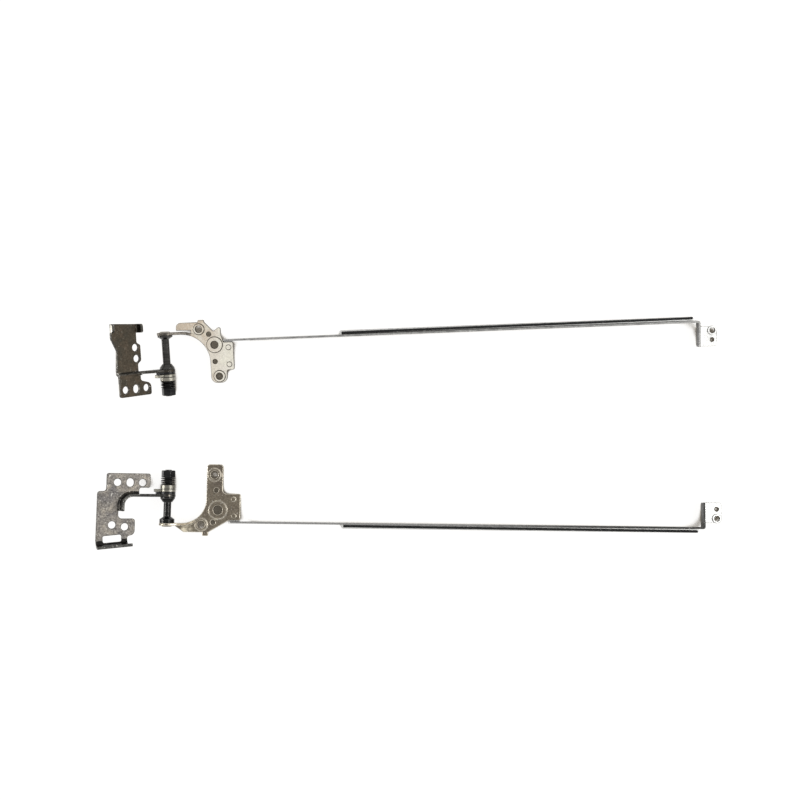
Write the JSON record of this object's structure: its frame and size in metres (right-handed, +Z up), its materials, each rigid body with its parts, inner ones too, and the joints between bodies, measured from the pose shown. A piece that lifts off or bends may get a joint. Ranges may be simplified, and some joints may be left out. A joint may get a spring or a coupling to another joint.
{
  "type": "pair of laptop hinges",
  "caption": "Left and right laptop lid hinges: stamped base and display brackets joined by a friction shaft with washers and disc springs, and a long folded rail with an end tab.",
  "frame": {"origin": "centre of the pair's box, on the surface that it lies on", "axes": "+X along the right hinge's rail, from shaft to end tab; +Y from the right hinge to the left hinge; +Z up"},
  "size_m": [0.2586, 0.098, 0.023],
  "materials": {
    "left_base_steel": "dull dark plated stamping",
    "right_base_steel": "mottled grey plated stamping",
    "left_display_steel": "pale plated stamping",
    "right_display_steel": "brown-grey plated stamping",
    "black_oxide": "blackened turned steel",
    "bright_washer": "bright ground steel",
    "rail_stainless": "rolled stainless strip",
    "foam": "matt adhesive foam"
  },
  "bodies": {
    "base_brackets": {"left_base_bracket": "left_base_steel", "left_friction_plate": "black_oxide", "left_tab_washer": "bright_washer", "right_base_bracket": "right_base_steel", "right_friction_plate": "black_oxide", "right_tab_washer": "bright_washer"},
    "left_display_arm": {"left_shaft": "black_oxide", "left_keyed_washer": "bright_washer", "left_disc_springs": "black_oxide", "left_lock_nut": "black_oxide", "left_display_bracket": "left_display_steel", "left_rail": "rail_stainless", "left_rail_strip": "foam", "left_rivets": "rail_stainless"},
    "right_display_arm": {"right_shaft": "black_oxide", "right_keyed_washer": "bright_washer", "right_disc_springs": "black_oxide", "right_lock_nut": "black_oxide", "right_display_bracket": "right_display_steel", "right_rail": "rail_stainless", "right_rail_strip": "foam", "right_rivets": "rail_stainless"}
  },
  "joints": [
    {"name": "left_hinge", "type": "hinge", "parent": "base_brackets", "child": "left_display_arm", "pos_m": [-0.10362, 0.03947, 0.00579], "axis": [0.0503, -0.9914, -0.1211], "range_deg": [-52, 128]},
    {"name": "right_hinge", "type": "hinge", "parent": "base_brackets", "child": "right_display_arm", "pos_m": [-0.10195, -0.04039, 0.00549], "axis": [-0.0004, -0.996, 0.0896], "range_deg": [-25, 155]}
  ]
}
